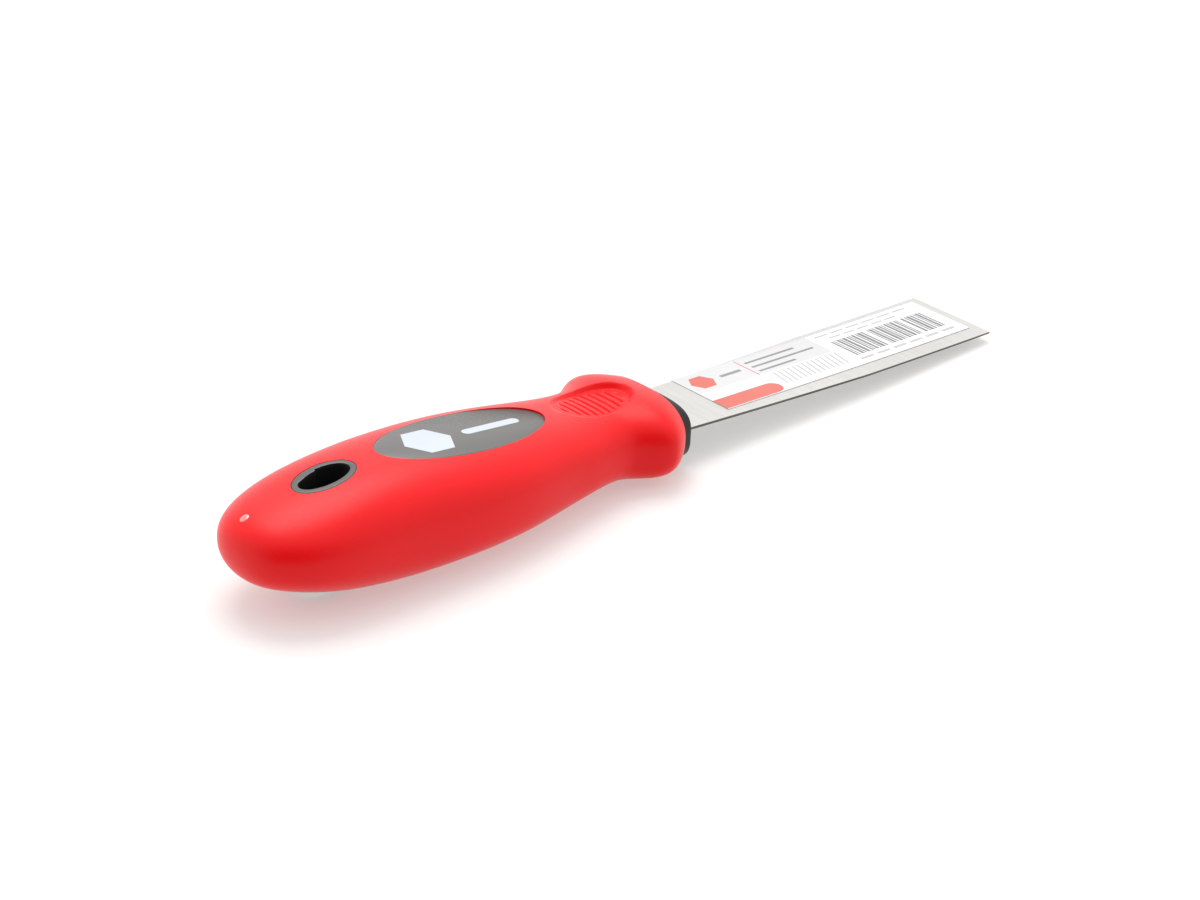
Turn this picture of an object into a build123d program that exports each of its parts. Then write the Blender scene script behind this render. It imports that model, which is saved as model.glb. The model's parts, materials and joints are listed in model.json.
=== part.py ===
from build123d import *
import os
from math import cos, pi, sin

# A small scraper in the form of a putty knife: a thin, square-ended stainless blade in a soft red handle.
# It is drawn straight, in millimetres: +X from the butt of the handle (x = 0) to the blade's edge, +Z up, and
# z = 0 at the middle of the handle's thickness. It is then laid down as it rests on a table, on the handle's
# belly and guard with the nose slightly down, and its origin goes under the middle of its bounding box.

# Handle
HANDLE_LENGTH = 112.0
# Across the handle, from butt to lip: distance from the butt, half width, half thickness, and how square the
# section is (2 is an ellipse).
HANDLE_STATIONS = [
    (0.0, 3.4, 2.4, 2.1),
    (1.3, 7.35, 4.85, 2.15),
    (5.0, 12.0, 7.4, 2.2),
    (12.5, 16.0, 9.75, 2.2),
    (24.0, 17.9, 12.0, 2.3),
    (38.0, 18.5, 12.8, 2.5),
    (54.0, 19.2, 12.3, 2.5),
    (68.0, 18.2, 11.3, 2.5),
    (79.5, 16.0, 10.1, 2.5),
    (87.0, 14.8, 9.1, 2.5),
    (94.0, 13.7, 8.7, 2.5),
    (97.5, 14.0, 8.8, 2.5),
    (101.5, 16.4, 9.1, 2.5),
    (105.5, 18.2, 9.3, 2.5),
    (109.0, 16.7, 8.9, 2.5),
    (HANDLE_LENGTH, 14.2, 8.2, 2.5),
]
SECTION_POINTS = 20
REST_TILT = 3.3  # degrees, nose down, when belly and guard both touch the table
REST_FLAT = 0.4  # how much of the soft belly and guard is flat where they touch it

# Hard core and soft skin
GRIP_WALL = 3.0
CORE_FRONT = 101.5  # the core's shells end at the start of the guard
TANG_START = 46.0
PEG_RADIUS = 1.5
PEG_LENGTH = 3.0
PEG_PLACES = [(39.0, 9.5), (84.0, 9.5)]  # x, and y to each side
PIN_RADIUS = 2.0
PIN_HALF_LENGTH = 4.6
PIN_PLACES = [58.0, 90.0]

# Collar
COLLAR_REACH = 2.5  # how far it stands out of the lip
COLLAR_HALF_WIDTH = 13.6
COLLAR_HALF_HEIGHT = 6.7
COLLAR_POWER = 3.5  # squarer than the handle
COLLAR_ROUND = 0.8
COLLAR_FRONT = HANDLE_LENGTH + COLLAR_REACH

# Hang hole
HOLE_X = 22.8
HOLE_HALF_LENGTH = 6.1
HOLE_HALF_WIDTH = 3.4
BUSH_WALL = 1.6

# Oval badge, flush with the grip at its long sides and sunk at its front end
BADGE_X = 59.2
BADGE_HALF_LENGTH = 22.3
BADGE_HALF_WIDTH = 9.7
BADGE_TOP = 11.13
BADGE_THICKNESS = 1.6
BADGE_SLOPE = 4.4  # degrees, falling towards the blade

# Thumb rests, one on each face
REST_X = 96.4
REST_HALF_LENGTH = 10.9
REST_HALF_WIDTH = 7.0
REST_FLOOR = 7.7
RIB_COUNT = 9
RIB_PITCH = 1.8
RIB_WIDTH = 0.9
RIB_HEIGHT = 0.6
RIB_MARGIN = 1.6  # between the ribs' oval and the edge of the rest

# Blade
BLADE_LENGTH = 97.0
BLADE_HALF_WIDTH = 12.5
BLADE_ROOT_HALF_WIDTH = 10.2
BLADE_FLARE = 56.0  # length over which it widens
TANG_HALF_WIDTH = 7.0
TANG_SHOULDER_X = 106.0
TANG_SHOULDER = 3.0
ROOT_THICKNESS = 0.8
TIP_THICKNESS = 0.6
TIP_DROP = 0.5
BLADE_SAG = 0.35
TIP_X = COLLAR_FRONT + BLADE_LENGTH

# Label on the blade
LABEL_START = 16.0  # from the collar
LABEL_LENGTH = 79.0
LABEL_NEAR = -8.2
LABEL_FAR = 10.9
LABEL_THICKNESS = 0.12

REACH = 60.0  # longer than any cut needs


def section(x, half_width, half_height, power):
    """A rounded section across the handle: a superellipse as one closed spline."""
    points = []
    for step in range(SECTION_POINTS):
        angle = 2 * pi * step / SECTION_POINTS
        across = abs(cos(angle)) ** (2 / power)
        up = abs(sin(angle)) ** (2 / power)
        y = half_width * (across if cos(angle) >= 0 else -across)
        z = half_height * (up if sin(angle) >= 0 else -up)
        points.append((x, y, z))
    return make_face(Spline(points, periodic=True))


def handle_body():
    """The handle's whole outer shape."""
    return loft([section(*station) for station in HANDLE_STATIONS])


def core_body():
    """The hard core's outer shape: the handle, thinner by the soft skin, between two flat ends."""
    inside = [station for station in HANDLE_STATIONS[3:] if station[0] <= CORE_FRONT]
    faces = [section(x, width - GRIP_WALL, height - GRIP_WALL, power) for x, width, height, power in inside]
    return loft(faces)


def upright_oval(x, half_length, half_width, low, high):
    """An oval prism standing along Z."""
    return Pos(x, 0, low) * extrude(Ellipse(half_length, half_width), high - low)


def upright_pin(x, y, radius, low, high):
    """A round pin standing along Z."""
    return Pos(x, y, low) * extrude(Circle(radius), high - low)


def badge_prism(low, high):
    """An oval prism on the badge's sloping plane, from low to high above the badge's top face."""
    place = Pos(BADGE_X, 0, BADGE_TOP) * Rot(0, BADGE_SLOPE, 0) * Pos(0, 0, low)
    return place * extrude(Ellipse(BADGE_HALF_LENGTH, BADGE_HALF_WIDTH), high - low)


def blade_arc(root_height, tip_height):
    """A line along the blade, seen from the side, that sags a little between its ends."""
    middle = ((COLLAR_FRONT + TIP_X) / 2, (root_height + tip_height) / 2 - BLADE_SAG)
    return ThreePointArc((COLLAR_FRONT, root_height), middle, (TIP_X, tip_height))


def side_solid(edges):
    """A closed outline in the XZ plane, thickened across the whole tool."""
    return extrude(Plane.XZ * make_face(edges), BLADE_HALF_WIDTH + 1, both=True)


def blade():
    """The stainless strip: flat tang, flared blade, thinner towards the square edge."""
    root = ROOT_THICKNESS / 2
    upper = blade_arc(root, TIP_THICKNESS / 2 - TIP_DROP)
    lower = blade_arc(-root, -TIP_THICKNESS / 2 - TIP_DROP)
    tang = Polyline(lower @ 0, (TANG_START, -root), (TANG_START, root), upper @ 0)
    profile = side_solid([upper, lower, tang, Line(upper @ 1, lower @ 1)])
    flare_end = COLLAR_FRONT + BLADE_FLARE
    near_side = [
        (TANG_START, TANG_HALF_WIDTH),
        (TANG_SHOULDER_X, TANG_HALF_WIDTH),
        (TANG_SHOULDER_X + TANG_SHOULDER, BLADE_ROOT_HALF_WIDTH),
        (COLLAR_FRONT, BLADE_ROOT_HALF_WIDTH),
        (flare_end, BLADE_HALF_WIDTH),
        (TIP_X, BLADE_HALF_WIDTH),
    ]
    far_side = [(x, -y) for x, y in reversed(near_side)]
    plan = extrude(make_face(Polyline(*near_side, *far_side, close=True)), REACH, both=True)
    body = profile & plan
    for x in PIN_PLACES:
        body -= upright_pin(x, 0, PIN_RADIUS, -REACH, REACH)
    return body


def blade_label():
    """The thin self-adhesive label, lying on the blade's bowed upper face."""
    under = blade_arc(ROOT_THICKNESS / 2, TIP_THICKNESS / 2 - TIP_DROP)
    over = Pos(0, LABEL_THICKNESS) * under
    film = side_solid([under, over, Line(under @ 0, over @ 0), Line(under @ 1, over @ 1)])
    start = COLLAR_FRONT + LABEL_START
    size = (LABEL_LENGTH, LABEL_FAR - LABEL_NEAR, REACH)
    middle = (start + LABEL_LENGTH / 2, (LABEL_NEAR + LABEL_FAR) / 2, 0)
    return film & Pos(*middle) * Box(*size)


def collar_stem():
    """The plug that closes the front of the handle."""
    face = section(CORE_FRONT, COLLAR_HALF_WIDTH, COLLAR_HALF_HEIGHT, COLLAR_POWER)
    plug = extrude(face, COLLAR_FRONT - CORE_FRONT, dir=(1, 0, 0))
    rim = plug.edges().sort_by(Axis.X)[-1]
    return fillet(rim, COLLAR_ROUND)


def thumb_rest(side):
    """What is cut from one face of the grip: an oval dish, less the ribs that stand on its floor."""
    floor = REST_FLOOR
    dish = upright_oval(REST_X, REST_HALF_LENGTH, REST_HALF_WIDTH, floor, floor + REACH)
    patch = upright_oval(
        REST_X, REST_HALF_LENGTH - RIB_MARGIN, REST_HALF_WIDTH - RIB_MARGIN, floor, floor + RIB_HEIGHT
    )
    for index in range(RIB_COUNT):
        x = REST_X + (index - (RIB_COUNT - 1) / 2) * RIB_PITCH
        bar = Pos(x, 0, floor) * Box(RIB_WIDTH, REACH, 2 * RIB_HEIGHT)
        dish -= patch & bar
    return dish if side > 0 else mirror(dish, about=Plane.XY)


def laid_down(shape, shift):
    """The shape at its place on the table."""
    return shift * Rot(0, REST_TILT, 0) * shape


handle = handle_body()
core = core_body()
knife = blade()
stem = collar_stem()
hole_outside = upright_oval(HOLE_X, HOLE_HALF_LENGTH + BUSH_WALL, HOLE_HALF_WIDTH + BUSH_WALL, -REACH, REACH)
hole_inside = upright_oval(HOLE_X, HOLE_HALF_LENGTH, HOLE_HALF_WIDTH, -REACH, REACH)
badge_pocket = badge_prism(-BADGE_THICKNESS, REACH)

soft_grip = handle - core - stem - hole_outside - badge_pocket - thumb_rest(1) - thumb_rest(-1)
bush = (handle & hole_outside) - hole_inside
badge = badge_prism(-BADGE_THICKNESS, 0)

pins = Compound([upright_pin(x, 0, PIN_RADIUS, -PIN_HALF_LENGTH, PIN_HALF_LENGTH) for x in PIN_PLACES])
core = core - hole_outside - badge_pocket - knife
for x in PIN_PLACES:
    core -= upright_pin(x, 0, PIN_RADIUS, -PIN_HALF_LENGTH, PIN_HALF_LENGTH)
upper_half = Pos(0, 0, REACH / 2) * Box(10 * REACH, REACH, REACH)
core_upper = core & upper_half
core_lower = core - upper_half
for x, y in PEG_PLACES:
    for side in (-1, 1):
        peg = upright_pin(x, side * y, PEG_RADIUS, 0, PEG_LENGTH)
        core_upper -= peg
        core_lower += peg

nodes = {
    "blade": knife,
    "blade_label": blade_label(),
    "collar": stem - knife,
    "core_upper": core_upper,
    "core_lower": core_lower,
    "tang_pins": pins,
    "soft_grip": soft_grip,
    "hang_hole_bush": bush,
    "badge": badge,
}

lowest = laid_down(Compound([handle, knife]), Pos(0, 0, 0)).bounding_box()
to_table = Pos(-(lowest.min.X + lowest.max.X) / 2, 0, -lowest.min.Z - REST_FLAT)
table = Pos(0, 0, -REACH / 2) * Box(10 * REACH, REACH, REACH)

os.makedirs("parts", exist_ok=True)
for name, shape in nodes.items():
    placed = laid_down(shape, to_table)
    if name == "soft_grip":
        placed -= table
    export_step(placed, f"parts/{name}.step")
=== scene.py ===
import json
from math import atan2, cos, pi, radians, sin

import bpy
import numpy as np
from mathutils import Matrix, Vector


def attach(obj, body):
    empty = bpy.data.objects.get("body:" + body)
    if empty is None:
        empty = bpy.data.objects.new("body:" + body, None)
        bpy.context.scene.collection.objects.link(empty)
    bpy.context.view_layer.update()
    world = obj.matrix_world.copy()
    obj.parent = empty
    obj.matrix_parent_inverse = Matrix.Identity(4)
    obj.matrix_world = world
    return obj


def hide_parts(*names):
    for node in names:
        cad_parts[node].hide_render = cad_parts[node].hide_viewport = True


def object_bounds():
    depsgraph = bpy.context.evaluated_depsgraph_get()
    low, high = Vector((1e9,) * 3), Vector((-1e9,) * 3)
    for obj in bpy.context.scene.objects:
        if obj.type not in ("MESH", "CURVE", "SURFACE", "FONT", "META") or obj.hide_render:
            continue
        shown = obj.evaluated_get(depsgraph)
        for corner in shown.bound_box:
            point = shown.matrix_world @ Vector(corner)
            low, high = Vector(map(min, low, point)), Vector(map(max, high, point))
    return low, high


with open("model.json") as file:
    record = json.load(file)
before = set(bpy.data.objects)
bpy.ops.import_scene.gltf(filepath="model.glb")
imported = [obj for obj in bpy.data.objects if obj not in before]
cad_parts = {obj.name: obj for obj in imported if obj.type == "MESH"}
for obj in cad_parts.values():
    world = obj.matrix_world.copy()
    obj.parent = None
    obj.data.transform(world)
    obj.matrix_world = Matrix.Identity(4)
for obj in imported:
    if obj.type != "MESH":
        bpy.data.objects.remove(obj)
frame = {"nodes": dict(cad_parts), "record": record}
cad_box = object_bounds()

# The look of a narrow putty knife. Its pieces are shaped in millimetres in the straight tool's own frame
# (+X from the butt to the edge, z = 0 at mid thickness) and then laid down where the frame's hang hole says.
MM = 0.001

# Handle: distance from the butt, half width, half thickness, and how square the section is (2 is an ellipse)
STATIONS = np.array([
    (0.0, 0.2, 0.15, 2.1),
    (1.3, 7.35, 4.85, 2.15),
    (5.0, 12.0, 7.4, 2.2),
    (12.5, 16.0, 9.75, 2.2),
    (24.0, 17.9, 12.0, 2.3),
    (38.0, 18.5, 12.8, 2.5),
    (54.0, 19.2, 12.3, 2.5),
    (68.0, 18.2, 11.3, 2.5),
    (79.5, 16.0, 10.1, 2.5),
    (87.0, 14.8, 9.1, 2.5),
    (94.0, 13.7, 8.7, 2.5),
    (97.5, 14.0, 8.8, 2.5),
    (101.5, 16.4, 9.1, 2.5),
    (105.5, 18.2, 9.3, 2.5),
    (109.0, 16.7, 8.9, 2.5),
    (112.0, 14.2, 8.2, 2.5),
])
HANDLE_LENGTH = 112.0
LIP_ROUND = 0.55
SKIN = 3.0
AROUND = 60  # steps in a quarter of a section

# Thumb rests
REST_X = 96.4
REST_HALF_LENGTH = 10.9
REST_HALF_WIDTH = 7.0
REST_BACK_DEPTH = 0.4
REST_FRONT_DEPTH = 1.5
REST_RIM = 0.12  # part of the oval taken by its sloping wall
RIB_PITCH = 1.8
GROOVE_WIDTH = 0.8
GROOVE_DEPTH = 0.42
PATCH_HALF_LENGTH = 8.6
PATCH_HALF_WIDTH = 5.4

# Hang hole and its bush
HOLE_X = 22.8
HOLE_HALF_LENGTH = 6.1
HOLE_HALF_WIDTH = 3.4
BUSH_WALL = 1.6
FIT_GAP = 0.04

# Badge
BADGE_X = 59.2
BADGE_HALF_LENGTH = 22.3
BADGE_HALF_WIDTH = 9.7
BADGE_TOP = 11.13
BADGE_THICKNESS = 1.6
BADGE_SLOPE = 4.4
BADGE_STEPS = 192  # points round the badge's outline
INK_LIFT = 0.001  # how far above the badge a printed mark starts
INK = 0.03  # thickness of a printed mark

# Collar and blade
CORE_START = 12.5
CORE_FRONT = 101.5
COLLAR_FRONT = 114.5
COLLAR_HALF_WIDTH = 13.6
COLLAR_HALF_HEIGHT = 6.7
COLLAR_POWER = 3.5
COLLAR_ROUND = 0.8
BLADE_LENGTH = 97.0
BLADE_HALF_WIDTH = 12.5
BLADE_ROOT_HALF_WIDTH = 10.2
BLADE_FLARE = 56.0
TIP_X = COLLAR_FRONT + BLADE_LENGTH
TANG_START = 46.0
TANG_HALF_WIDTH = 7.0
PIN_RADIUS = 2.0
PIN_PLACES = (58.0, 90.0)
ROOT_THICKNESS = 0.8
TIP_THICKNESS = 0.6
TIP_DROP = 0.5
BLADE_SAG = 0.35
BLADE_EASE = 0.1  # the small chamfer along the blade's edges

# Label: x from the collar, y to the far side
LABEL_START = 16.0
LABEL_END = 94.6
LABEL_NEAR = -8.2
LABEL_FAR = 10.9
LABEL_THICKNESS = 0.1
FILM_STEP = 4.0  # longest stretch of an outline, and longest cell of a band, before it is divided
BAND_STEP = 2.0

# The label's printed areas, measured as the label is
PRINT_EDGE = 0.15  # bare label left round the white fields on the near side
WHITE_START = 58.3  # where the white block with the bars starts
WHITE_END = 94.4
WHITE_FAR = 10.7
ROWS_START = 36.4
PILL_NEAR = -7.9
PILL_FAR = -2.9
PILL_END = 35.0
BARS_START = 61.5
BARS = 29
DASHES = 6
DASH_PITCH = 5.4
HATCH_LINES = 14
HATCH_PITCH = 1.5


# ---------------------------------------------------------------- placing

hole = {mount["name"]: mount for mount in frame["record"]["mounts"]}["hang_hole"]
REST_TILT = atan2(hole["axis"][0], hole["axis"][2])
LAID = (
    Matrix.Translation(hole["pos_m"])
    @ Matrix.Rotation(REST_TILT, 4, "Y")
    @ Matrix.Translation((-HOLE_X * MM, 0, 0))
)


def made(name, points, faces):
    """A mesh object, still in millimetres and in the straight tool's frame."""
    mesh = bpy.data.meshes.new(name)
    mesh.from_pydata(np.asarray(points, float).tolist(), [], faces)
    mesh.validate()
    obj = bpy.data.objects.new(name, mesh)
    bpy.context.scene.collection.objects.link(obj)
    return obj


def finished(obj, slot, *materials, nodes=(), sharp=32.0):
    """Lays a piece down, in metres, gives it its materials, hangs it on the root body and hides the frame's
    nodes that it replaces; slot is not used.
    """
    obj.data.transform(LAID @ Matrix.Scale(MM, 4))
    obj.data.shade_smooth()
    obj.data.set_sharp_from_angle(angle=radians(sharp))
    if materials:
        obj.data.materials.clear()
        for material in materials:
            obj.data.materials.append(material)
    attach(obj, "root")
    if nodes:
        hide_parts(*nodes)
    return obj


# ---------------------------------------------------------------- shapes

def natural_spline(knots, values):
    """A natural cubic spline through the values, as a function."""
    count = len(knots)
    gap = np.diff(knots)
    slope = np.diff(values) / gap
    system = np.eye(count)
    right = np.zeros(count)
    for i in range(1, count - 1):
        system[i, i - 1:i + 2] = gap[i - 1], 2 * (gap[i - 1] + gap[i]), gap[i]
        right[i] = 6 * (slope[i] - slope[i - 1])
    bend = np.linalg.solve(system, right)

    def value(at):
        i = np.clip(np.searchsorted(knots, at) - 1, 0, count - 2)
        after = (at - knots[i]) / gap[i]
        before = 1 - after
        cubic = (before**3 - before) * bend[i] + (after**3 - after) * bend[i + 1]
        return before * values[i] + after * values[i + 1] + gap[i] ** 2 / 6 * cubic

    return value


width_curve = natural_spline(np.sqrt(STATIONS[:, 0]), STATIONS[:, 1])
height_curve = natural_spline(np.sqrt(STATIONS[:, 0]), STATIONS[:, 2])


def squareness(x):
    return np.interp(x, STATIONS[:, 0], STATIONS[:, 3])


def half_width(x):
    return width_curve(np.sqrt(np.clip(x, 0, HANDLE_LENGTH)))


def half_height(x):
    return height_curve(np.sqrt(np.clip(x, 0, HANDLE_LENGTH)))


def skin_height(x, y):
    """Height of the handle's upper surface over the middle plane."""
    power = squareness(x)
    inside = np.clip(1 - np.abs(y / half_width(x)) ** power, 0, 1)
    return half_height(x) * inside ** (1 / power)


def eased(value):
    """0 below 0, 1 above 1, with a smooth rise between them."""
    value = np.clip(value, 0, 1)
    return value * value * (3 - 2 * value)


def section(x, width, height, power, steps=AROUND):
    """A rounded section across the handle, its points evenly spaced in each quarter."""
    angle = np.linspace(0, pi / 2, 600)
    y = width * np.cos(angle).clip(0) ** (2 / power)
    z = height * np.sin(angle).clip(0) ** (2 / power)
    run = np.concatenate([[0], np.cumsum(np.hypot(np.diff(y), np.diff(z)))])
    even = np.linspace(0, run[-1], steps + 1)
    y, z = np.interp(even, run, y), np.interp(even, run, z)
    ring_y = np.concatenate([y[:-1], -y[:0:-1], -y[:-1], y[:0:-1]])
    ring_z = np.concatenate([z[:-1], z[:0:-1], -z[:-1], -z[:0:-1]])
    return np.column_stack([np.full(ring_y.shape, x), ring_y, ring_z])


def oval(half_length, half_width, steps=128):
    """An oval outline in the XY plane."""
    angle = np.linspace(0, 2 * pi, steps, endpoint=False)
    return np.column_stack([half_length * np.cos(angle), half_width * np.sin(angle)])


def tube(name, rings, closed=False):
    """A skin over rings of points: its two ends are capped, or joined to each other if it is closed."""
    around = len(rings[0])
    step = np.arange(around)
    after = (step + 1) % around
    faces = []
    pairs = len(rings) if closed else len(rings) - 1
    for ring in range(pairs):
        low = ring * around
        high = (ring + 1) % len(rings) * around
        faces += np.column_stack([low + step, low + after, high + after, high + step]).tolist()
    if not closed:
        faces.append(step[::-1].tolist())
        faces.append((step + (len(rings) - 1) * around).tolist())
    return made(name, np.concatenate(rings), faces)


def prism(name, outline, low, high, place=Matrix.Identity(4)):
    """A flat outline thickened from low to high."""
    outline = np.asarray(outline, float)
    rings = [np.column_stack([outline, np.full(len(outline), z)]) for z in (low, high)]
    body = tube(name, rings)
    body.data.transform(place)
    return body


def settled(body):
    """Makes the body's modifiers permanent."""
    graph = bpy.context.evaluated_depsgraph_get()
    mesh = bpy.data.meshes.new_from_object(body.evaluated_get(graph))
    body.modifiers.clear()
    body.data = mesh
    return body


def cut(body, *cutters):
    """The body less the cutters, which are used up."""
    for cutter in cutters:
        change = body.modifiers.new("cut", "BOOLEAN")
        change.operation = "DIFFERENCE"
        change.solver = "MANIFOLD"
        change.object = cutter
    settled(body)
    for cutter in cutters:
        bpy.data.objects.remove(cutter)
    return body


def joined(name, bodies):
    """Several bodies as one object."""
    points = []
    faces = []
    for body in bodies:
        start = len(points)
        points += [tuple(vertex.co) for vertex in body.data.vertices]
        faces += [[start + i for i in face.vertices] for face in body.data.polygons]
        bpy.data.objects.remove(body)
    return made(name, points, faces)


# ---------------------------------------------------------------- materials

SHEEN_TINT = (1.0, 0.8, 0.8, 1)


def surface(name, colour, other, roughness, grain, metallic=0.0, bump=0.2, bump_distance=0.00003,
            spread=(1.0, 1.0, 1.0), rough_spread=0.08, wear=None, wear_amount=0.5, coat=0.0, specular=0.5,
            sheen=0.0, patch_scale=40.0):
    """A material that drifts between two tones, with fine grain in its bump and roughness, and worn edges."""
    material = bpy.data.materials.new(name)
    material.use_nodes = True
    tree = material.node_tree
    shader = tree.nodes["Principled BSDF"]
    shader.inputs["Metallic"].default_value = metallic
    shader.inputs["Coat Weight"].default_value = coat
    shader.inputs["Coat Roughness"].default_value = 0.12
    shader.inputs["Specular IOR Level"].default_value = specular
    shader.inputs["Sheen Weight"].default_value = sheen
    shader.inputs["Sheen Roughness"].default_value = 0.35
    shader.inputs["Sheen Tint"].default_value = SHEEN_TINT

    place = tree.nodes.new("ShaderNodeTexCoord")
    stretch = tree.nodes.new("ShaderNodeMapping")
    stretch.inputs["Scale"].default_value = spread
    tree.links.new(place.outputs["Object"], stretch.inputs["Vector"])

    drift = tree.nodes.new("ShaderNodeTexNoise")
    drift.inputs["Scale"].default_value = patch_scale
    drift.inputs["Detail"].default_value = 4.0
    tree.links.new(place.outputs["Object"], drift.inputs["Vector"])
    fine = tree.nodes.new("ShaderNodeTexNoise")
    fine.inputs["Scale"].default_value = grain
    fine.inputs["Detail"].default_value = 5.0
    tree.links.new(stretch.outputs["Vector"], fine.inputs["Vector"])

    blend = tree.nodes.new("ShaderNodeMath")
    blend.operation = "MULTIPLY_ADD"
    tree.links.new(fine.outputs["Fac"], blend.inputs[0])
    blend.inputs[1].default_value = 0.45
    tree.links.new(drift.outputs["Fac"], blend.inputs[2])
    tones = tree.nodes.new("ShaderNodeValToRGB")
    tones.color_ramp.elements[0].position = 0.45
    tones.color_ramp.elements[0].color = (*colour, 1)
    tones.color_ramp.elements[1].position = 1.0
    tones.color_ramp.elements[1].color = (*other, 1)
    tree.links.new(blend.outputs["Value"], tones.inputs["Fac"])
    colour_out = tones.outputs["Color"]

    if wear:
        shape = tree.nodes.new("ShaderNodeNewGeometry")
        edge = tree.nodes.new("ShaderNodeMapRange")
        edge.inputs["From Min"].default_value = 0.53
        edge.inputs["From Max"].default_value = 0.62
        edge.inputs["To Max"].default_value = wear_amount
        tree.links.new(shape.outputs["Pointiness"], edge.inputs["Value"])
        broken = tree.nodes.new("ShaderNodeMath")
        broken.operation = "MULTIPLY"
        tree.links.new(edge.outputs["Result"], broken.inputs[0])
        tree.links.new(drift.outputs["Fac"], broken.inputs[1])
        mix = tree.nodes.new("ShaderNodeMix")
        mix.data_type = "RGBA"
        tree.links.new(broken.outputs["Value"], mix.inputs["Factor"])
        tree.links.new(colour_out, mix.inputs["A"])
        mix.inputs["B"].default_value = (*wear, 1)
        colour_out = mix.outputs["Result"]
    tree.links.new(colour_out, shader.inputs["Base Color"])

    rough = tree.nodes.new("ShaderNodeMapRange")
    rough.inputs["From Min"].default_value = 0.3
    rough.inputs["From Max"].default_value = 0.7
    rough.inputs["To Min"].default_value = roughness - rough_spread
    rough.inputs["To Max"].default_value = roughness + rough_spread
    tree.links.new(fine.outputs["Fac"], rough.inputs["Value"])
    tree.links.new(rough.outputs["Result"], shader.inputs["Roughness"])

    relief = tree.nodes.new("ShaderNodeBump")
    relief.inputs["Strength"].default_value = bump
    relief.inputs["Distance"].default_value = bump_distance
    tree.links.new(fine.outputs["Fac"], relief.inputs["Height"])
    tree.links.new(relief.outputs["Normal"], shader.inputs["Normal"])
    return material


RED_SKIN = surface("red_soft_skin", (0.74, 0.0, 0.002), (0.82, 0.0005, 0.004), 0.40, 2600, bump=0.3,
                   wear=(0.84, 0.02, 0.02), wear_amount=0.3, specular=0.24, sheen=0.22)
# Glossy red for the gate mark; its paler pink, lighter than the skin, is a painted highlight
GATE_PAINTED_HIGHLIGHT = surface("red_gate_mark_painted_highlight", (0.78, 0.12, 0.12), (0.84, 0.18, 0.18), 0.12, 2600, bump=0.05,
                    specular=0.8, coat=1.0)
GREY_BUSH = surface("grey_bush", (0.055, 0.05, 0.047), (0.08, 0.075, 0.07), 0.40, 1800,
                    wear=(0.34, 0.34, 0.33), wear_amount=0.8)
# A blacker, duller copy of the bush plastic for the hole's inner wall: painted shade in the deep hole
HOLE_WALL_PAINTED_SHADE = surface("hole_wall_painted_shade", (0.004, 0.004, 0.004), (0.007, 0.007, 0.007), 0.7, 1500,
                       specular=0.2)
GREY_BADGE = surface("grey_badge", (0.085, 0.083, 0.078), (0.115, 0.113, 0.107), 0.38, 2200,
                     wear=(0.3, 0.3, 0.29), wear_amount=0.6)
WHITE_INK = surface("white_ink", (0.46, 0.50, 0.55), (0.52, 0.56, 0.60), 0.45, 1500)
STEEL = surface("brushed_steel", (0.55, 0.54, 0.525), (0.60, 0.59, 0.575), 0.32, 60, metallic=1.0, bump=0.05,
                spread=(45.0, 1.2, 1.2), rough_spread=0.07, wear=(0.9, 0.9, 0.88), patch_scale=28)
# Dark steel for the blade's thin side faces: painted shade for the shadowed floor they would mirror
STEEL_EDGE_PAINTED_SHADE = surface("steel_edge_painted_shade", (0.07, 0.068, 0.062), (0.15, 0.145, 0.135), 0.5, 90, metallic=1.0,
                  spread=(30.0, 1.0, 6.0), bump=0.3)
BLACK_GLOSS = surface("black_gloss", (0.004, 0.004, 0.004), (0.008, 0.008, 0.008), 0.17, 1600, bump=0.06,
                      wear=(0.06, 0.06, 0.06), specular=0.32)
LABEL_SILVER = surface("label_silver", (0.50, 0.495, 0.50), (0.56, 0.555, 0.56), 0.40, 900, bump=0.05)
LABEL_WHITE = surface("label_white_block", (0.66, 0.66, 0.66), (0.70, 0.70, 0.70), 0.5, 900, bump=0.05)
INK_DARK = surface("ink_dark", (0.14, 0.145, 0.145), (0.18, 0.185, 0.185), 0.5, 900, bump=0.05)
INK_GREY = surface("ink_grey", (0.17, 0.17, 0.175), (0.22, 0.22, 0.225), 0.5, 900, bump=0.05)
INK_PALE = surface("ink_pale", (0.34, 0.36, 0.37), (0.40, 0.42, 0.43), 0.5, 900, bump=0.05)
INK_RED = surface("ink_red", (0.50, 0.085, 0.06), (0.56, 0.12, 0.09), 0.5, 900, bump=0.05)
CORE = surface("black_core", (0.03, 0.03, 0.03), (0.05, 0.05, 0.05), 0.6, 900)
PIN = surface("pin_steel", (0.55, 0.55, 0.55), (0.65, 0.65, 0.65), 0.35, 600, metallic=1.0)


# ---------------------------------------------------------------- soft skin of the handle

def rested(points):
    """Sinks the two thumb rests and their grooves into the skin."""
    x, y, z = points.T
    reach = np.hypot((x - REST_X) / REST_HALF_LENGTH, y / REST_HALF_WIDTH)
    along = eased((x - (REST_X - REST_HALF_LENGTH)) / (2 * REST_HALF_LENGTH))
    depth = REST_BACK_DEPTH + (REST_FRONT_DEPTH - REST_BACK_DEPTH) * along
    sunk = depth * eased((1 - reach) / REST_RIM)
    patch = np.hypot((x - REST_X) / PATCH_HALF_LENGTH, y / PATCH_HALF_WIDTH)
    rib = (x - REST_X) / RIB_PITCH - 0.5
    from_groove = np.abs(rib - np.round(rib)) * RIB_PITCH
    groove = eased((GROOVE_WIDTH / 2 - from_groove) / (GROOVE_WIDTH / 3)) * eased((1 - patch) / 0.09)
    sunk = sunk + GROOVE_DEPTH * groove
    on_face = np.abs(z) > 4
    return np.column_stack([x, y, np.where(on_face, z - np.sign(z) * sunk, z)])


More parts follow.
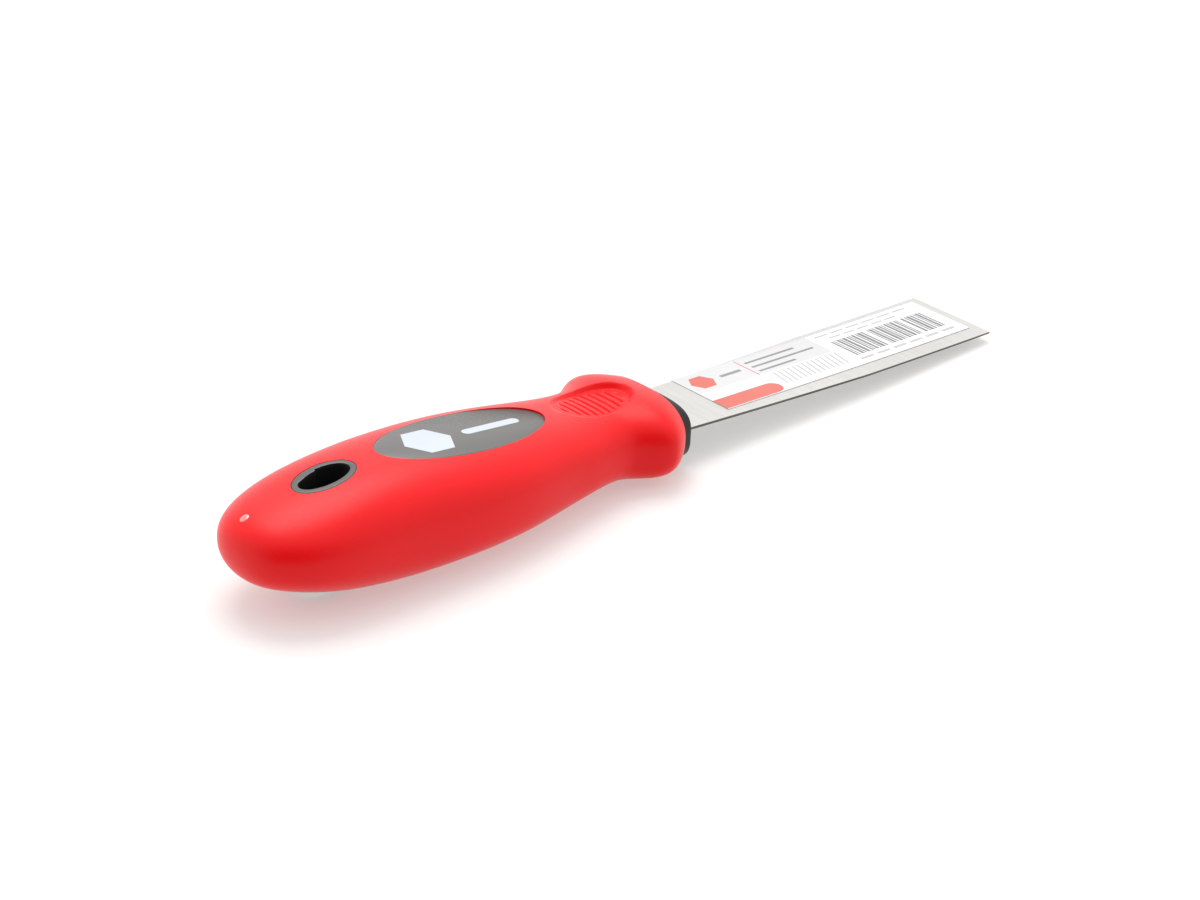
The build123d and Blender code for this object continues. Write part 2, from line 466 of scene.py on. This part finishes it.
def on_table(points):
    """Flattens what would reach below the table or past the frame's box once the tool lies on it."""
    placed = Matrix.Scale(1 / MM, 4) @ LAID @ Matrix.Scale(MM, 4)
    turn = np.array(placed.to_3x3())
    shift = np.array(placed.to_translation())
    laid = points @ turn.T + shift
    laid[:, 2] = np.maximum(laid[:, 2], 0.002)
    laid[:, 0] = np.maximum(laid[:, 0], cad_box[0].x / MM + 0.002)
    laid[:, 1] = np.clip(laid[:, 1], cad_box[0].y / MM + 0.002, cad_box[1].y / MM - 0.002)
    return (laid - shift) @ turn


def skin_rings():
    places = np.concatenate([
        np.linspace(0, np.sqrt(12), 34) ** 2,
        np.arange(12.7, 86.0, 0.74),
        np.arange(86.2, 109.0, 0.125),
        np.arange(109.2, HANDLE_LENGTH - LIP_ROUND, 0.3),
    ])
    rings = [section(x, half_width(x), half_height(x), squareness(x)) for x in places]
    for turn in np.radians([0, 15, 30, 45, 60, 75, 90]):
        x = HANDLE_LENGTH - LIP_ROUND * (1 - sin(turn))
        inset = LIP_ROUND * (1 - cos(turn))
        rings.append(section(x, half_width(x) - inset, half_height(x) - inset, squareness(x)))
    return [on_table(rested(ring)) for ring in rings]


def core_space():
    """The room that the hard core takes inside the skin."""
    places = np.linspace(CORE_START, CORE_FRONT + 0.01, 46)
    rings = [section(x, half_width(x) - SKIN, half_height(x) - SKIN, squareness(x), 18) for x in places]
    return tube("core_space", rings)


def plug(name, start, front, gap=0.0):
    """A plug of the collar's shape along X."""
    width = COLLAR_HALF_WIDTH + gap
    height = COLLAR_HALF_HEIGHT + gap
    return tube(name, [section(x, width, height, COLLAR_POWER, 32) for x in (start, front)])


BADGE_PLACE = Matrix.Translation((BADGE_X, 0, BADGE_TOP)) @ Matrix.Rotation(radians(BADGE_SLOPE), 4, "Y")


def badge_outline(gap):
    return oval(BADGE_HALF_LENGTH + gap, BADGE_HALF_WIDTH + gap, BADGE_STEPS)


skin = tube("grip_skin", skin_rings())
hole_outline = oval(HOLE_HALF_LENGTH + BUSH_WALL + FIT_GAP, HOLE_HALF_WIDTH + BUSH_WALL + FIT_GAP)
cut(
    skin,
    core_space(),
    plug("plug_space", CORE_FRONT - 0.5, HANDLE_LENGTH + 1, FIT_GAP),
    prism("hole_space", hole_outline, -30, 30, Matrix.Translation((HOLE_X, 0, 0))),
    prism("badge_space", badge_outline(FIT_GAP), -BADGE_THICKNESS, 30, BADGE_PLACE),
)
finished(skin, "grip_rubber", RED_SKIN, nodes=("soft_grip",))


# The small mark that the mould's gate left near the butt: a glossy nub whose paler pink than the skin is a
# painted highlight
GATE_X, GATE_Y, GATE_RADIUS, GATE_HEIGHT = 3.9, 1.8, 0.95, 0.22
gate_steps = np.radians(np.linspace(0, 345, 24))
gate_rings = []
for reach, lift in ((1.0, -0.15), (1.0, 0.02), (0.93, 0.1), (0.75, 0.16), (0.5, 0.2), (0.2, GATE_HEIGHT)):
    x = GATE_X + GATE_RADIUS * reach * np.cos(gate_steps)
    y = GATE_Y + GATE_RADIUS * reach * np.sin(gate_steps)
    gate_rings.append(np.column_stack([x, y, skin_height(x, y) + lift]))
finished(tube("gate_mark", gate_rings), "grip_rubber", GATE_PAINTED_HIGHLIGHT)


# ---------------------------------------------------------------- bush of the hang hole

def bush_rings():
    """Rings from the lower rim round the outside to the upper rim and back through the hole."""
    steps = 160
    angle = np.linspace(0, 2 * pi, steps, endpoint=False)
    # how far in from the outside, and how far above the skin
    lip = [(0.0, -0.5), (0.0, -0.16), (0.12, -0.14), (0.2, -0.02), (0.3, 0.0), (1.2, 0.0), (1.42, -0.08),
           (1.55, -0.3), (BUSH_WALL, -0.8)]
    ledge = 0.6 * eased((angle - radians(88)) / radians(3)) * eased((radians(158) - angle) / radians(30))

    def ring(inset, lift, side):
        inward = inset + ledge * eased((inset - 0.9) / 0.5)
        x = (HOLE_HALF_LENGTH + BUSH_WALL - inward) * np.cos(angle)
        y = (HOLE_HALF_WIDTH + BUSH_WALL - inward) * np.sin(angle)
        return np.column_stack([HOLE_X + x, y, side * (skin_height(HOLE_X + x, y) + lift)])

    return [ring(*place, 1) for place in lip] + [ring(*place, -1) for place in reversed(lip)]


bush = tube("hole_bush", [on_table(ring) for ring in bush_rings()], closed=True)
bush.data.materials.append(GREY_BUSH)
bush.data.materials.append(HOLE_WALL_PAINTED_SHADE)
# The faces inside the hole take the blacker copy, painted shade for the hole's inner wall
for face in bush.data.polygons:
    middle = face.center
    from_middle = ((middle.x - HOLE_X) / (HOLE_HALF_LENGTH + 0.12)) ** 2
    from_middle += (middle.y / (HOLE_HALF_WIDTH + 0.12)) ** 2
    if from_middle < 1 and abs(face.normal.z) < 0.6:
        face.material_index = 1
finished(bush, "bush_plastic", nodes=("hang_hole_bush",))


# ---------------------------------------------------------------- badge

def plate_rings():
    edge = [(0.25, -BADGE_THICKNESS), (0.0, -1.35), (0.0, -0.12), (0.03, -0.05), (0.12, 0.0)]
    for inset, z in edge:
        outline = badge_outline(-inset)
        yield np.column_stack([outline, np.full(len(outline), z)])


plate = tube("badge_plate", list(plate_rings()))
plate.data.transform(BADGE_PLACE)
finished(plate, "badge_plastic", GREY_BADGE, nodes=("badge",))


def hexagon(middle, radius):
    angle = np.radians(np.arange(6) * 60)
    return np.column_stack([middle[0] + radius * np.cos(angle), middle[1] + radius * np.sin(angle)])


def slanted(x, y_low, y_high, width, lean):
    """A bar across, its far end leaning forward."""
    return [(x, y_low), (x + width, y_low), (x + width + lean, y_high), (x + lean, y_high)]


def round_end(x_end, y_low, y_high, side=1):
    """The half round that ends a bar at x_end: side is 1 for its front and -1 for its back."""
    radius = (y_high - y_low) / 2
    middle = (y_high + y_low) / 2
    turn = np.linspace(-pi / 2, pi / 2, 8)
    x = x_end - side * radius + side * radius * np.cos(turn)
    return np.column_stack([x, middle + side * radius * np.sin(turn)])


def rounded_bar(x_start, x_end, y_low, y_high):
    """A bar with round ends."""
    return np.concatenate([round_end(x_end, y_low, y_high), round_end(x_start, y_low, y_high, -1)])


badge_marks = [hexagon((-9.0, 0.0), 6.2), rounded_bar(0.5, 16.0, -1.2, 1.2)]
mark = joined("badge_mark", [prism("mark", shape, INK_LIFT, INK, BADGE_PLACE) for shape in badge_marks])
finished(mark, "badge_plastic", WHITE_INK)


# ---------------------------------------------------------------- blade

def blade_heights(x):
    """Lower and upper surface of the blade, which sags a little between its ends."""
    along = np.clip((x - COLLAR_FRONT) / BLADE_LENGTH, 0, 1)
    middle = -TIP_DROP * along - 4 * BLADE_SAG * along * (1 - along)
    half = (ROOT_THICKNESS + (TIP_THICKNESS - ROOT_THICKNESS) * along) / 2
    return middle - half, middle + half


def blade_rings():
    places = np.concatenate([
        [TANG_START, 60, 75, 90, 105.9, 109.0, 111.0],
        np.arange(COLLAR_FRONT, TIP_X, 1.0),
        [TIP_X - BLADE_EASE, TIP_X],
    ])
    across = [TANG_START, 106.0, 109.0, COLLAR_FRONT, COLLAR_FRONT + BLADE_FLARE, TIP_X]
    widths = [TANG_HALF_WIDTH] * 2 + [BLADE_ROOT_HALF_WIDTH] * 2 + [BLADE_HALF_WIDTH] * 2
    for x in places:
        low, high = blade_heights(x)
        ease = BLADE_EASE
        if x == TIP_X:
            low, high = low + ease, high - ease
        side = float(np.interp(x, across, widths))
        spread = np.linspace(-(side - ease), side - ease, 13)
        upper = [(x, y, high) for y in spread]
        lower = [(x, y, low) for y in spread[::-1]]
        far = [(x, side, high - ease), (x, side, low + ease)]
        near = [(x, -side, low + ease), (x, -side, high - ease)]
        yield np.array(upper + far + lower + near)


strip = tube("scraper_blade", list(blade_rings()))
strip.data.flip_normals()
cut(strip, *[prism("pin_space", oval(PIN_RADIUS, PIN_RADIUS, 48), -5, 5, Matrix.Translation((x, 0, 0)))
             for x in PIN_PLACES])
strip.data.materials.clear()
strip.data.materials.append(STEEL)
strip.data.materials.append(STEEL_EDGE_PAINTED_SHADE)
# The thin side faces take the dark steel, painted shade along the blade's edges
for face in strip.data.polygons:
    if abs(face.normal.z) < 0.5:
        face.material_index = 1
finished(strip, "blade_steel", nodes=("blade",))


# ---------------------------------------------------------------- label and its print

def film(name, outline, low, high):
    """A thin closed piece over an outline, following the blade's bow. x counts from the collar."""
    outline = np.asarray(outline, float)
    finer = []
    for (x0, y0), (x1, y1) in zip(outline, np.roll(outline, -1, axis=0)):
        parts = max(1, int(abs(x1 - x0) / FILM_STEP))
        finer += [(x0 + (x1 - x0) * i / parts, y0 + (y1 - y0) * i / parts) for i in range(parts)]
    finer = np.array(finer)
    x = COLLAR_FRONT + finer[:, 0]
    top = blade_heights(x)[1]
    rings = [np.column_stack([x, finer[:, 1], top + lift]) for lift in (low, high)]
    return tube(name, rings)


def band(x_start, x_end, y_low, y_high, low, high):
    """A rectangular film as a strip of short cells, for pieces long enough to show the bow."""
    rings = []
    for x in np.linspace(x_start, x_end, max(2, int((x_end - x_start) / BAND_STEP) + 1)):
        top = blade_heights(COLLAR_FRONT + x)[1]
        rings.append(np.array([
            (COLLAR_FRONT + x, y_low, top + low),
            (COLLAR_FRONT + x, y_high, top + low),
            (COLLAR_FRONT + x, y_high, top + high),
            (COLLAR_FRONT + x, y_low, top + high),
        ]))
    return tube("band", rings)


sheet = band(LABEL_START, LABEL_END, LABEL_NEAR, LABEL_FAR, 0.002, LABEL_THICKNESS)
sheet.name = "label_sheet"
finished(sheet, "label_film", LABEL_SILVER, nodes=("blade_label",))

PRINT_LOW = LABEL_THICKNESS - 0.002
PRINT_HIGH = LABEL_THICKNESS + 0.01
INK_HIGH = LABEL_THICKNESS + 0.02


def printed(name, pieces, material):
    return finished(joined(name, pieces), "label_film", material)


white_near = LABEL_NEAR + PRINT_EDGE
white_fields = [
    band(WHITE_START, WHITE_END, white_near, WHITE_FAR, PRINT_LOW, PRINT_HIGH),
    band(LABEL_START + 0.2, WHITE_START + 0.1, white_near, 1.3, PRINT_LOW, PRINT_HIGH - 0.003),
]
printed("label_white_block", white_fields, LABEL_WHITE)

# A block of upright bars of uneven width, with a row of dashes under it
bars = []
place = BARS_START
for i in range(BARS):
    width = (0.55, 0.35, 0.75, 0.45, 0.9)[i % 5]
    bars.append(band(place, place + width, -3.7, 5.3, PRINT_LOW, INK_HIGH))
    place += width + (0.35, 0.5, 0.3)[i % 3]
    if i in (10, 21):
        place += 0.9
printed("label_bars", bars, INK_DARK)
dashes = []
for i in range(DASHES):
    place = 60.8 + DASH_PITCH * i
    dashes.append(band(place, place + 4.1, -6.1, -5.2, PRINT_LOW, INK_HIGH))
printed("label_dashes", dashes, INK_PALE)
faint = [band(60 + 5.2 * i, 64.2 + 5.2 * i, 8.9, 9.5, PRINT_LOW, INK_HIGH) for i in range(6)]
faint += [band(63 + 4.6 * i, 66.6 + 4.6 * i, 6.9, 7.5, PRINT_LOW, INK_HIGH) for i in range(5)]
printed("label_faint_rows", faint, INK_PALE)

# Three plain rows and a short bar
rows = []
for y, end in ((8.1, 52), (5.6, 56), (3.1, 48)):
    rows.append(band(ROWS_START, end, y - 0.35, y + 0.35, PRINT_LOW, INK_HIGH))
rows.append(band(26.8, 33.1, 5.5, 6.5, PRINT_LOW, INK_HIGH))
printed("label_rows", rows, INK_GREY)

# An even hatch of fine slanted lines along the label's middle
hatch = []
for i in range(HATCH_LINES):
    line = slanted(37.0 + HATCH_PITCH * i, -5.6, 0.7, 0.45, 1.2)
    hatch.append(film("line", line, PRINT_LOW, INK_HIGH))
printed("label_hatch", hatch, INK_PALE)

red = [film("hexagon", hexagon((21.2, 6.0), 3.4), PRINT_LOW, INK_HIGH)]
red.append(band(34.9, 35.15, 1.7, 10.4, PRINT_LOW, INK_HIGH))
pill_bend = PILL_END - (PILL_FAR - PILL_NEAR) / 2
red.append(band(LABEL_START, pill_bend, PILL_NEAR, PILL_FAR, PRINT_LOW, INK_HIGH))
red.append(film("end", round_end(PILL_END, PILL_NEAR, PILL_FAR), PRINT_LOW, INK_HIGH))
printed("label_red", red, INK_RED)


# ---------------------------------------------------------------- collar

def collar_rings():
    yield section(CORE_FRONT, COLLAR_HALF_WIDTH, COLLAR_HALF_HEIGHT, COLLAR_POWER, 32)
    for turn in np.radians([0, 12, 24, 36, 48, 60, 72, 84, 90]):
        x = COLLAR_FRONT - COLLAR_ROUND * (1 - sin(turn))
        inset = COLLAR_ROUND * (1 - cos(turn))
        yield section(x, COLLAR_HALF_WIDTH - inset, COLLAR_HALF_HEIGHT - inset, COLLAR_POWER, 32)


def slot_space():
    """The slot that the blade stands in, a little wider than the blade at the front."""
    rings = []
    for x, gap in ((CORE_FRONT - 1, 0.02), (COLLAR_FRONT - 0.9, 0.02), (COLLAR_FRONT - 0.4, 0.22),
                   (COLLAR_FRONT + 1, 0.22)):
        side = BLADE_ROOT_HALF_WIDTH + gap
        up = ROOT_THICKNESS / 2 + gap
        rings.append(np.array([(x, side, -up), (x, side, up), (x, -side, up), (x, -side, -up)]))
    return tube("slot_space", rings)


collar = tube("front_collar", list(collar_rings()))
cut(collar, slot_space())
finished(collar, "collar_plastic", BLACK_GLOSS, nodes=("collar",))

for name, material in (("core_upper", CORE), ("core_lower", CORE), ("tang_pins", PIN)):
    node = frame["nodes"][name]
    node.data.materials.clear()
    node.data.materials.append(material)


# ---------------------------------------------------------------- floor, light and camera

FLOOR_HALF = 6.0
floor_corners = [(-FLOOR_HALF, -FLOOR_HALF, 0), (FLOOR_HALF, -FLOOR_HALF, 0),
                 (FLOOR_HALF, FLOOR_HALF, 0), (-FLOOR_HALF, FLOOR_HALF, 0)]
floor_mesh = bpy.data.meshes.new("floor")
floor_mesh.from_pydata(floor_corners, [], [(0, 1, 2, 3)])
floor = bpy.data.objects.new("floor", floor_mesh)
bpy.context.scene.collection.objects.link(floor)
white = surface("white_floor", (0.46, 0.46, 0.46), (0.48, 0.48, 0.48), 0.7, 300, bump=0.0, specular=0.2,
                rough_spread=0.03, patch_scale=3)
glow = white.node_tree.nodes["Principled BSDF"]  # a lit table, which keeps the shadows pale
glow.inputs["Emission Color"].default_value = (1.0, 0.985, 0.96, 1)
glow.inputs["Emission Strength"].default_value = 0.40
floor.data.materials.append(white)

world = bpy.data.worlds.new("studio")
world.use_nodes = True
bpy.context.scene.world = world
sky = world.node_tree
back = sky.nodes["Background"]
back.inputs["Strength"].default_value = 1.27
direction = sky.nodes.new("ShaderNodeTexCoord")
apart = sky.nodes.new("ShaderNodeSeparateXYZ")
sky.links.new(direction.outputs["Generated"], apart.inputs["Vector"])
shade = sky.nodes.new("ShaderNodeValToRGB")
shade.color_ramp.elements[0].position = 0.0
shade.color_ramp.elements[0].color = (0.93, 0.92, 0.90, 1)
shade.color_ramp.elements[1].position = 0.5
shade.color_ramp.elements[1].color = (1.0, 1.0, 1.0, 1)
sky.links.new(apart.outputs["Z"], shade.inputs["Fac"])
toward = sky.nodes.new("ShaderNodeVectorMath")
toward.operation = "DOT_PRODUCT"
sky.links.new(direction.outputs["Generated"], toward.inputs[0])
toward.inputs[1].default_value = (-0.64, -0.74, 0.20)
dim = sky.nodes.new("ShaderNodeMapRange")
dim.interpolation_type = "SMOOTHSTEP"
dim.inputs["From Min"].default_value = 0.45
dim.inputs["From Max"].default_value = 0.98
dim.inputs["To Min"].default_value = 1.0
dim.inputs["To Max"].default_value = 0.06
sky.links.new(toward.outputs["Value"], dim.inputs["Value"])
both = sky.nodes.new("ShaderNodeVectorMath")
both.operation = "SCALE"
sky.links.new(shade.outputs["Color"], both.inputs[0])
sky.links.new(dim.outputs["Result"], both.inputs["Scale"])
sky.links.new(both.outputs["Vector"], back.inputs["Color"])


def softbox(name, place, aim, size, power):
    light = bpy.data.lights.new(name, "AREA")
    light.shape = "RECTANGLE"
    light.size, light.size_y = size
    light.energy = power
    lamp = bpy.data.objects.new(name, light)
    bpy.context.scene.collection.objects.link(lamp)
    lamp.location = place
    lamp.rotation_mode = "QUATERNION"
    lamp.rotation_quaternion = (Vector(aim) - Vector(place)).to_track_quat("-Z", "Y")
    return lamp


softbox("overhead", (0.25, 0.45, 1.25), (0, 0, 0), (0.85, 0.85), 12.0)

# The camera looks at a point near the tool's middle, from behind the butt and above
TARGET = Vector((-5.5, 0.95, 4.25)) * MM
DISTANCE = 0.8001
HEADING = radians(41.34)
ELEVATION = radians(27.82)
LENS = 108.5
forward = Vector((sin(HEADING) * cos(ELEVATION), cos(HEADING) * cos(ELEVATION), -sin(ELEVATION)))
camera = bpy.data.objects.new("camera", bpy.data.cameras.new("camera"))
bpy.context.scene.collection.objects.link(camera)
camera.data.sensor_width = 36.0
camera.data.lens = LENS
camera.location = TARGET - forward * DISTANCE
camera.rotation_mode = "QUATERNION"
camera.rotation_quaternion = forward.to_track_quat("-Z", "Y")
bpy.context.scene.camera = camera
bpy.context.scene.view_settings.view_transform = "Standard"
